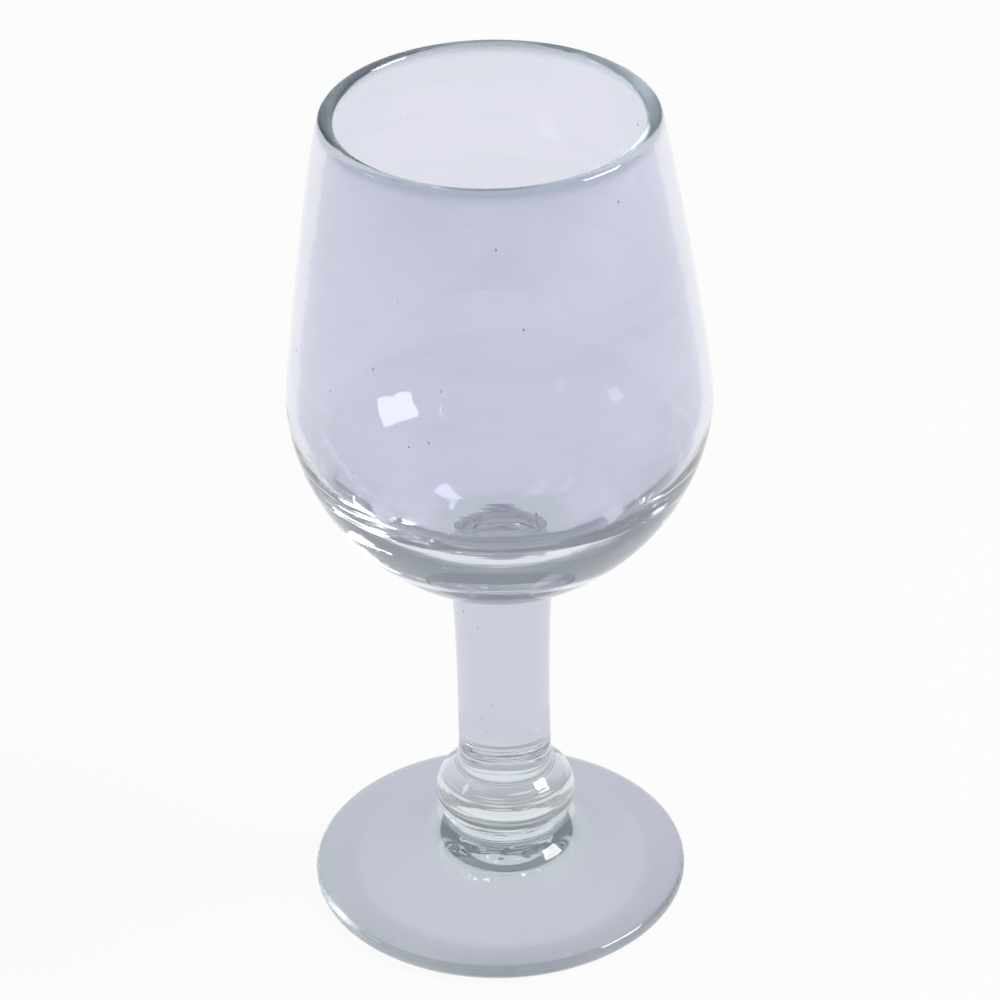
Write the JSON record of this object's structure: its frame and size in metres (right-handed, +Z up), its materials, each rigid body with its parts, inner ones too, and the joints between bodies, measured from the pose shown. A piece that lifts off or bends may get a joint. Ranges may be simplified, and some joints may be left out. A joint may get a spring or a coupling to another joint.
{
  "type": "tulip glass",
  "caption": "Hand-blown clear tulip glass: a round-bellied bowl narrowing to a thick rim, on a solid stem with a ball knop and a domed disc foot.",
  "frame": {"origin": "centre of the plane that the foot rests on", "axes": "+Z up along the axis of the glass, from the foot to the mouth; X and Y lie in the resting plane"},
  "size_m": [0.0854, 0.0854, 0.18],
  "materials": {
    "clear_glass": "fire-polished, clear with a faint grey-green cast"
  },
  "bodies": {
    "root": {"foot": "clear_glass", "knop": "clear_glass", "stem": "clear_glass", "bowl": "clear_glass"}
  },
  "joints": []
}
